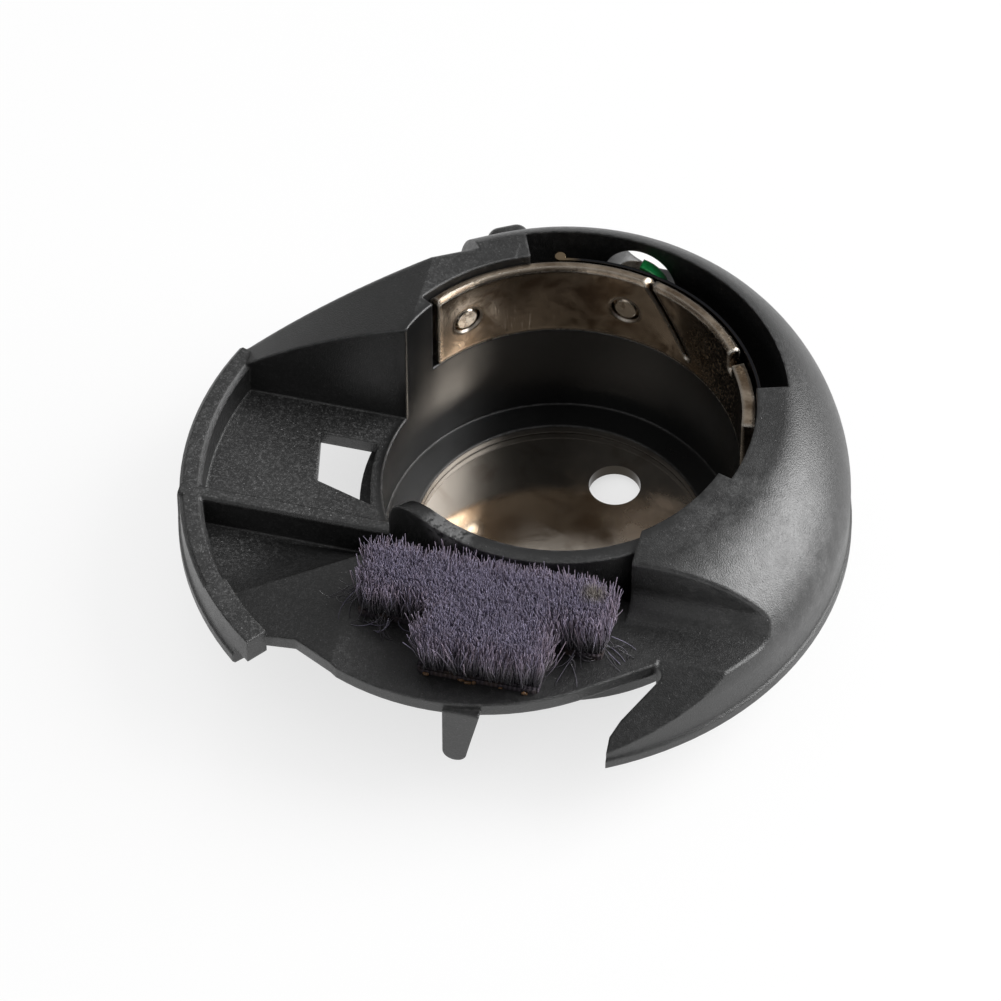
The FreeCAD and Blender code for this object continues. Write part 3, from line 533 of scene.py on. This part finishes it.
def make_pile():
    """Fibres all over the T, which lean out and are shorter and pinker along its sides."""
    draw = np.random.default_rng(11)
    across = np.arange(PAD_LOW.x, PAD_HIGH.x, TUFT_PITCH)
    deep = np.arange(PAD_LOW.y, PAD_HIGH.y, TUFT_PITCH)
    tufts = np.stack(np.meshgrid(across, deep), -1).reshape(-1, 2)
    tufts = tufts + draw.normal(0, TUFT_SCATTER, tufts.shape)
    gap, _, inside = edge_gap(tufts)
    tufts = tufts[inside & (gap > TUFT_MARGIN)]
    lean = draw.normal(0, TUFT_LEAN, tufts.shape)
    tall = draw.normal(TUFT_HEIGHT, TUFT_HEIGHT_SPREAD, len(tufts))
    tint = draw.uniform(*TUFT_TINTS, len(tufts))

    count = len(tufts) * TUFT_FIBRES
    own = np.repeat(np.arange(len(tufts)), TUFT_FIBRES)
    root = tufts[own] + draw.normal(0, FIBRE_SCATTER, (count, 2))
    gap, way, _ = edge_gap(root)
    near_side = np.clip(1 - gap / SIDE_STRIP, 0, 1)
    outward = way * near_side[:, None]
    spread = lean[own] + draw.normal(0, FIBRE_LEAN, (count, 2))
    spread = spread + outward * draw.uniform(*SIDE_LEANS, (count, 1))
    share = np.clip(tall[own] + draw.normal(0, FIBRE_HEIGHT_SPREAD, count), *FIBRE_HEIGHT_LIMITS)
    height = (PAD_HIGH.z - PAD_LOW.z) * share
    height = height * (1 - SIDE_SHORTER * near_side ** 2 * draw.uniform(0, 1, count))
    top = root + spread * height[:, None]
    bend = root + (top - root) * BEND_REACH + draw.normal(0, BEND_SCATTER, (count, 2)) + outward * SIDE_BULGE
    pink = SIDE_PINK * near_side * draw.uniform(*SIDE_PINK_SHARES, count)
    pink = np.clip(pink + draw.normal(FIBRE_PINK, FIBRE_PINK_SPREAD, count), 0, MOST_PINK)
    shade = np.clip(tint[own] + draw.normal(0, FIBRE_TINT_SPREAD, count), 0, 1)

    centers = [root, bend, top]
    levels = [PAD_LOW.z, PAD_LOW.z + BEND_LEVEL * height, PAD_LOW.z + height]
    points = fibre_rings(draw, centers, levels)
    along = np.tile(np.repeat([0.0, BEND_LEVEL, 1.0], FIBRE_SIDES), count)
    each = len(centers) * FIBRE_SIDES
    return fibre_piece("pile", points, len(centers), along, np.repeat(shade, each), np.repeat(pink, each))


# Loose fibres shed on the shelf

SHELF_LEVEL = 8.06
STRAY_STEPS = 5
STRAY_FAN_DEGREES = 34
STRAY_LENGTHS = (0.8, 2.3)
STRAY_CURL = 1.5
STRAY_SCATTER = 0.5
STRAY_LIFTS = (0.1, 1.2)
STRAY_SHADES = (0.05, 0.15, 0.30, 0.70)
STRAY_NARROW = 0.6


def stray_paths():
    """Lines, levels and shades of the loose fibres, which curl down from the pad's sides to the shelf."""
    draw = np.random.default_rng(5)
    homes = (
        {"spot": (PAD_LOW.x, -14.6), "way": 200, "number": 22, "width": 0.9},
        {"spot": (PAD_HIGH.x, -15.2), "way": -12, "number": 9, "width": 0.7},
        {"spot": (-7.4, PAD_WAIST), "way": 255, "number": 16, "width": 1.3},
        {"spot": (4.8, PAD_WAIST), "way": 285, "number": 8, "width": 0.9},
    )
    paths, levels, shades = [], [], []
    for home in homes:
        for _ in range(home["number"]):
            turn = math.radians(home["way"] + draw.normal(0, STRAY_FAN_DEGREES))
            length = draw.uniform(*STRAY_LENGTHS)
            curl = draw.normal(0, STRAY_CURL)
            width = home["width"] if abs(math.cos(turn)) < 0.7 else STRAY_NARROW
            line = [np.array(home["spot"]) + draw.normal(0, STRAY_SCATTER, 2) * width]
            for _ in range(STRAY_STEPS):
                turn += curl / STRAY_STEPS
                line.append(line[-1] + length / STRAY_STEPS * np.array([math.cos(turn), math.sin(turn)]))
            paths.append(line)
            lift = draw.uniform(*STRAY_LIFTS)
            left = [1 - step / STRAY_STEPS for step in range(STRAY_STEPS + 1)]
            levels.append([SHELF_LEVEL + lift * share ** 2 for share in left])
            shades.append(draw.choice(STRAY_SHADES))
    return paths, levels, shades


def make_strays():
    """The loose fibres as one piece, each in one shade from end to end."""
    draw = np.random.default_rng(7)
    paths, levels, shades = stray_paths()
    rings = STRAY_STEPS + 1
    centers = np.array(paths).swapaxes(0, 1)
    points = fibre_rings(draw, centers, np.array(levels).T)
    shade = np.repeat(shades, rings * FIBRE_SIDES)
    return fibre_piece("stray_fibres", points, rings, shade, shade, np.zeros(len(shade)))


# Backing and crumbs of adhesive

BACKING_ROUND = 0.35
CRUMBS = 6
CRUMB_LIFT = 0.03
CRUMB_REACH = 0.22
CRUMB_RADII = (0.08, 0.17)
CRUMB_ROUGHNESS = 0.05


def new_piece(name):
    """The object that the last operator made, under its own name."""
    piece = bpy.context.object
    piece.name = name
    return piece


def settle():
    """Put the place and scale of the selected piece into its mesh."""
    bpy.ops.object.transform_apply(location=True, rotation=True, scale=True)


def pick(piece, mode, chosen):
    """Select the faces or edges of a piece whose corner points pass a test, and stay in edit mode."""
    bpy.ops.object.mode_set(mode="EDIT")
    bpy.ops.mesh.select_mode(type=mode)
    bpy.ops.mesh.select_all(action="DESELECT")
    bpy.ops.object.mode_set(mode="OBJECT")
    points = [vertex.co for vertex in piece.data.vertices]
    for part in piece.data.polygons if mode == "FACE" else piece.data.edges:
        corners = [points[index] / MM for index in part.vertices]
        part.select = chosen(corners)
    bpy.ops.object.mode_set(mode="EDIT")


def middle_of_front(corners):
    """True for the bar's front face between the two cuts."""
    x = sum(corner.x for corner in corners) / len(corners)
    in_front = max(corner.y for corner in corners) < PAD_WAIST + 0.01
    return in_front and abs(x - sum(PAD_BLOCK) / 2) < 1


def upright(corners):
    """True for the edges that stand up."""
    return abs(corners[0].z - corners[1].z) > 0.2


def make_backing():
    """Woven strip under the pile: a bar whose middle is drawn out to the front."""
    low, high = (Vector(corner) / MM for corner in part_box("pad_backing"))
    low.xy = PAD_LOW.xy
    bpy.ops.object.select_all(action="DESELECT")
    bpy.ops.mesh.primitive_cube_add(size=1)
    backing = new_piece("pad_backing_cloth")
    backing.scale = ((high.x - low.x) * MM, (high.y - PAD_WAIST) * MM, (high.z - low.z) * MM)
    backing.location = Vector(((low.x + high.x) / 2, (high.y + PAD_WAIST) / 2, (low.z + high.z) / 2)) * MM
    settle()
    bpy.ops.object.mode_set(mode="EDIT")
    for side in PAD_BLOCK:
        bpy.ops.mesh.select_all(action="SELECT")
        bpy.ops.mesh.bisect(plane_co=(side * MM, 0, 0), plane_no=(1, 0, 0))
    bpy.ops.object.mode_set(mode="OBJECT")
    pick(backing, "FACE", middle_of_front)
    bpy.ops.mesh.extrude_region_move(TRANSFORM_OT_translate={"value": (0, (low.y - PAD_WAIST) * MM, 0)})
    bpy.ops.object.mode_set(mode="OBJECT")
    pick(backing, "EDGE", upright)
    bpy.ops.mesh.bevel(offset=BACKING_ROUND * MM, segments=3, affect="EDGES")
    bpy.ops.object.mode_set(mode="OBJECT")
    dress(backing, FINISHES["pad_backing"])
    return backing


def make_glue():
    """Crumbs of old adhesive along the front side of the pad."""
    draw = np.random.default_rng(3)
    crumbs = []
    for number in range(CRUMBS):
        x = draw.uniform(*PAD_BLOCK)
        y = PAD_LOW.y - draw.uniform(0.0, CRUMB_REACH)
        spot = Vector((x, y, SHELF_LEVEL + CRUMB_LIFT)) * MM
        radius = draw.uniform(*CRUMB_RADII) * MM
        bpy.ops.object.select_all(action="DESELECT")
        bpy.ops.mesh.primitive_ico_sphere_add(subdivisions=2, radius=radius, location=spot)
        crumb = new_piece("glue_crumb")
        crumb.scale = (draw.uniform(0.8, 1.7), draw.uniform(0.7, 1.1), draw.uniform(0.5, 0.9))
        settle()
        bpy.ops.object.mode_set(mode="EDIT")
        bpy.ops.transform.vertex_random(offset=CRUMB_ROUGHNESS * MM, uniform=0.6, seed=number + 1)
        bpy.ops.object.mode_set(mode="OBJECT")
        crumbs.append(crumb)
    for crumb in crumbs:
        crumb.select_set(True)
    bpy.context.view_layer.objects.active = crumbs[0]
    bpy.ops.object.join()
    glue = new_piece("old_glue")
    settle()
    bpy.ops.object.shade_smooth()
    dress(glue, old_glue())
    return glue


glue = make_glue()
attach(glue, "case")

pile = make_pile()
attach(pile, "case")
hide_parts("pile_pad")

strays = make_strays()
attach(strays, "case")

backing = make_backing()
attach(backing, "case")
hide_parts("pad_backing")


# Stage: pale floor, soft light and the photograph's view

CAMERA_PLACE = Vector((0.0642, -0.2729, 0.3235))
CAMERA_AIM = Vector((-0.00435, 0.00188, 0.0))
SHADOW_REACH = 16


def make_floor():
    """White floor that keeps a soft shadow close to the box and lights it as a matte one."""
    bpy.ops.object.select_all(action="DESELECT")
    bpy.ops.mesh.primitive_plane_add(size=6, location=(0, 0, FLOOR_LEVEL * MM))
    floor = new_piece("studio_floor")
    material, s = finish_of("studio_floor")
    rays = [s.node("ShaderNodeLightPath", None, None, name)
            for name in ("Is Camera Ray", "Is Glossy Ray", "Is Transmission Ray")]
    seen = s.clamped(rays[0] + rays[1] + rays[2])
    open_sky = s.node("ShaderNodeAmbientOcclusion", {"samples": 8}, {"Distance": SHADOW_REACH * MM}, "AO")
    share = (0.56 + 0.34 * open_sky ** 0.5) * seen
    matte = s.node("ShaderNodeBsdfDiffuse", None, {"Color": grey(0.88)})
    glow = s.node("ShaderNodeEmission", None, {"Color": grey(1.0), "Strength": 1.0})
    both = s.node("ShaderNodeMixShader", None, {0: share, 1: matte, 2: glow})
    s.node("ShaderNodeOutputMaterial", None, {"Surface": both})
    dress(floor, material)


def make_world():
    """Dark round the horizon and behind the camera, dim overhead."""
    world = bpy.data.worlds.new("studio")
    world.use_nodes = True
    bpy.context.scene.world = world
    s = Shader(world.node_tree)
    _, y, z = s.axes(s.node("ShaderNodeTexCoord", out="Generated"))
    height = s.step(z + 0.6 * y, 0.0, 1.15)
    colour = s.mix(height, grey(0.03), grey(0.36))
    sky = s.node("ShaderNodeBackground", None, {"Color": colour, "Strength": 1.0})
    s.node("ShaderNodeOutputWorld", None, {"Surface": sky})


def softbox(name, way, distance, width, height, watts):
    """Area light that looks at the box from one direction."""
    spot = Vector(way).normalized() * distance
    bpy.ops.object.light_add(type="AREA", location=spot)
    lamp = new_piece(name)
    lamp.rotation_euler = (-spot).to_track_quat("-Z", "Y").to_euler()
    lamp.data.shape = "RECTANGLE"
    lamp.data.size = width
    lamp.data.size_y = height
    lamp.data.energy = watts


def make_camera():
    """The photograph's view, from the front and above through a long lens."""
    bpy.ops.object.camera_add(location=CAMERA_PLACE)
    camera = bpy.context.object
    camera.rotation_euler = (CAMERA_AIM - CAMERA_PLACE).to_track_quat("-Z", "Y").to_euler()
    camera.data.sensor_width = 36
    camera.data.lens = 244.3
    camera.data.clip_start = 0.01
    camera.data.clip_end = 20
    bpy.context.scene.camera = camera


make_floor()
make_world()
softbox("key_right", way=(0.770, 0.280, 0.574), distance=0.45, width=0.36, height=0.46, watts=3.8)
softbox("front_fill", way=(-0.35, -0.85, 0.45), distance=0.6, width=0.5, height=0.3, watts=0.45)
make_camera()
bpy.context.scene.view_settings.view_transform = "Standard"
